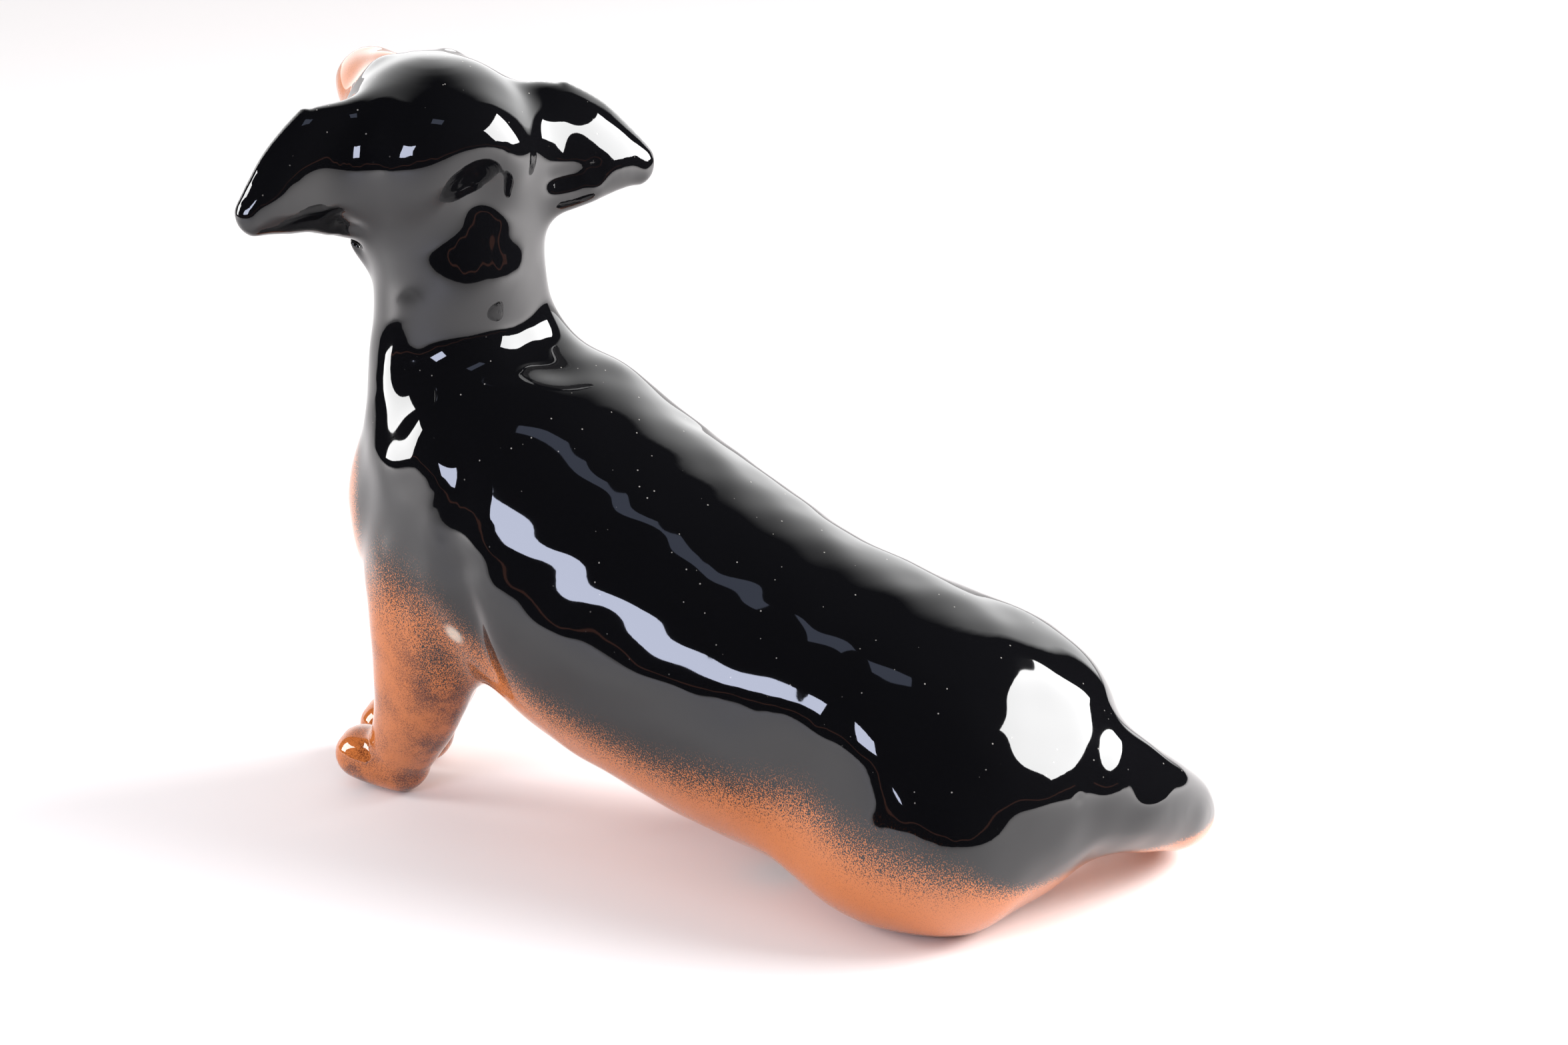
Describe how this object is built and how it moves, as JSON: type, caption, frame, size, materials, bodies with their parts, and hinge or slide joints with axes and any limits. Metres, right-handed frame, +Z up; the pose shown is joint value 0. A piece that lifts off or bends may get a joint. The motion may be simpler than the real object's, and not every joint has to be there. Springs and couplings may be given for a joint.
{
  "type": "seated dog figurine",
  "caption": "Glossy black-and-tan ceramic dog figurine, long-bodied, seated on its rump with straight forelegs, head turned and muzzle raised; free-standing ornament.",
  "frame": {"origin": "on the surface that the figurine stands on, under the middle of its bounding box", "axes": "+X is the dog's left, +Y runs from its head to its tail, +Z is up"},
  "size_m": [0.0572, 0.1178, 0.0911],
  "materials": {
    "black_glaze": "airbrushed black under a clear gloss glaze",
    "tan_glaze": "airbrushed orange-tan under a clear gloss glaze",
    "bare_slip": "bare fired slip"
  },
  "bodies": {
    "root": {"torso_casting": "black_glaze", "head_casting": "black_glaze", "ear_left": "black_glaze", "ear_right": "black_glaze", "tail": "black_glaze", "foreleg_left": "tan_glaze", "foreleg_right": "tan_glaze", "hind_leg_left": "tan_glaze", "hind_leg_right": "tan_glaze", "slip_neck": "bare_slip", "slip_ear_left": "bare_slip", "slip_ear_right": "bare_slip", "slip_foreleg_left": "bare_slip", "slip_foreleg_right": "bare_slip", "slip_hind_leg_left": "bare_slip", "slip_hind_leg_right": "bare_slip", "slip_tail": "bare_slip"}
  },
  "joints": []
}
